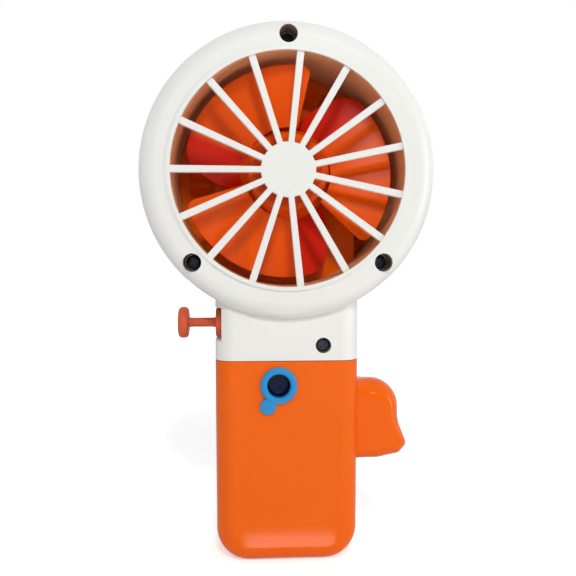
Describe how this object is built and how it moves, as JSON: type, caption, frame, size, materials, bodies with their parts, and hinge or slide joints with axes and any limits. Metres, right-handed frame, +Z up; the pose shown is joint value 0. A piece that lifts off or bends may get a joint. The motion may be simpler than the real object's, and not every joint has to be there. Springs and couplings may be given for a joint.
{
  "type": "hand-squeezed mist fan",
  "caption": "Hand-held fan driven by a squeeze trigger through a rack and gears, with a water tank handle, push pump and mist nozzle.",
  "frame": {"origin": "middle of the handle's flat foot", "axes": "+Z up the handle, +Y the way the air blows, +X towards the trigger"},
  "size_m": [0.099, 0.0394, 0.1836],
  "materials": {
    "white_plastic": "satin",
    "orange_plastic": "gloss",
    "rotor_orange": "gloss",
    "terracotta_plastic": "satin",
    "blue_rubber": "satin",
    "gear_plastic": "satin",
    "clear_tube": "satin",
    "black_rubber": "matte",
    "steel": "satin"
  },
  "bodies": {
    "housing": {"rear_housing": "white_plastic", "front_housing": "white_plastic", "gearbox_cover": "orange_plastic", "front_grille": "orange_plastic", "water_tank": "orange_plastic", "tank_lid": "white_plastic", "tube_grommet": "black_rubber", "suction_tube": "clear_tube", "delivery_tube": "clear_tube", "pump_barrel": "white_plastic", "pump_collar": "terracotta_plastic", "nozzle": "orange_plastic", "valve_ball": "steel", "gear_axles": "steel", "thrust_washer": "steel", "head_screws": "steel", "neck_screw": "steel", "cover_screws": "steel", "trigger_spring": "steel", "plunger_spring": "steel"},
    "trigger": {"trigger": "orange_plastic"},
    "input_gear": {"input_gear": "gear_plastic"},
    "middle_gear": {"middle_gear": "gear_plastic"},
    "fan": {"fan_rotor": "rotor_orange", "fan_shaft": "steel", "fan_pinion": "gear_plastic"},
    "plunger": {"plunger": "terracotta_plastic", "piston_seal": "black_rubber"},
    "plug": {"filler_plug": "blue_rubber"}
  },
  "joints": [
    {"name": "trigger_slide", "type": "slide", "parent": "housing", "child": "trigger", "axis": [-1, 0, 0], "range_m": [0, 0.011], "stiffness_N_per_m": 400, "springref_m": -0.005, "deforming": ["trigger_spring"]},
    {"name": "input_gear_spin", "type": "hinge", "parent": "housing", "child": "input_gear", "pos_m": [0.0045, 0, 0.09439], "axis": [0, 1, 0], "range_deg": [0, 131.4]},
    {"name": "middle_gear_spin", "type": "hinge", "parent": "housing", "child": "middle_gear", "pos_m": [0.003, 0, 0.11554], "axis": [0, 1, 0], "range_deg": [-501.44, 0]},
    {"name": "fan_spin", "type": "hinge", "parent": "housing", "child": "fan", "pos_m": [0, 0, 0.1341], "axis": [0, 1, 0], "range_deg": [0, 1640.84]},
    {"name": "plunger_slide", "type": "slide", "parent": "housing", "child": "plunger", "axis": [1, 0, 0], "range_m": [0, 0.009], "stiffness_N_per_m": 300, "springref_m": -0.004, "deforming": ["plunger_spring"]},
    {"name": "plug_pull", "type": "slide", "parent": "housing", "child": "plug", "axis": [0, -1, 0], "range_m": [0, 0.014]}
  ],
  "couplings": [
    {"joint": "input_gear_spin", "follows": "trigger_slide", "rad_per_m": 208.33},
    {"joint": "middle_gear_spin", "follows": "trigger_slide", "rad_per_m": -795.45},
    {"joint": "fan_spin", "follows": "trigger_slide", "rad_per_m": 2603.3}
  ]
}
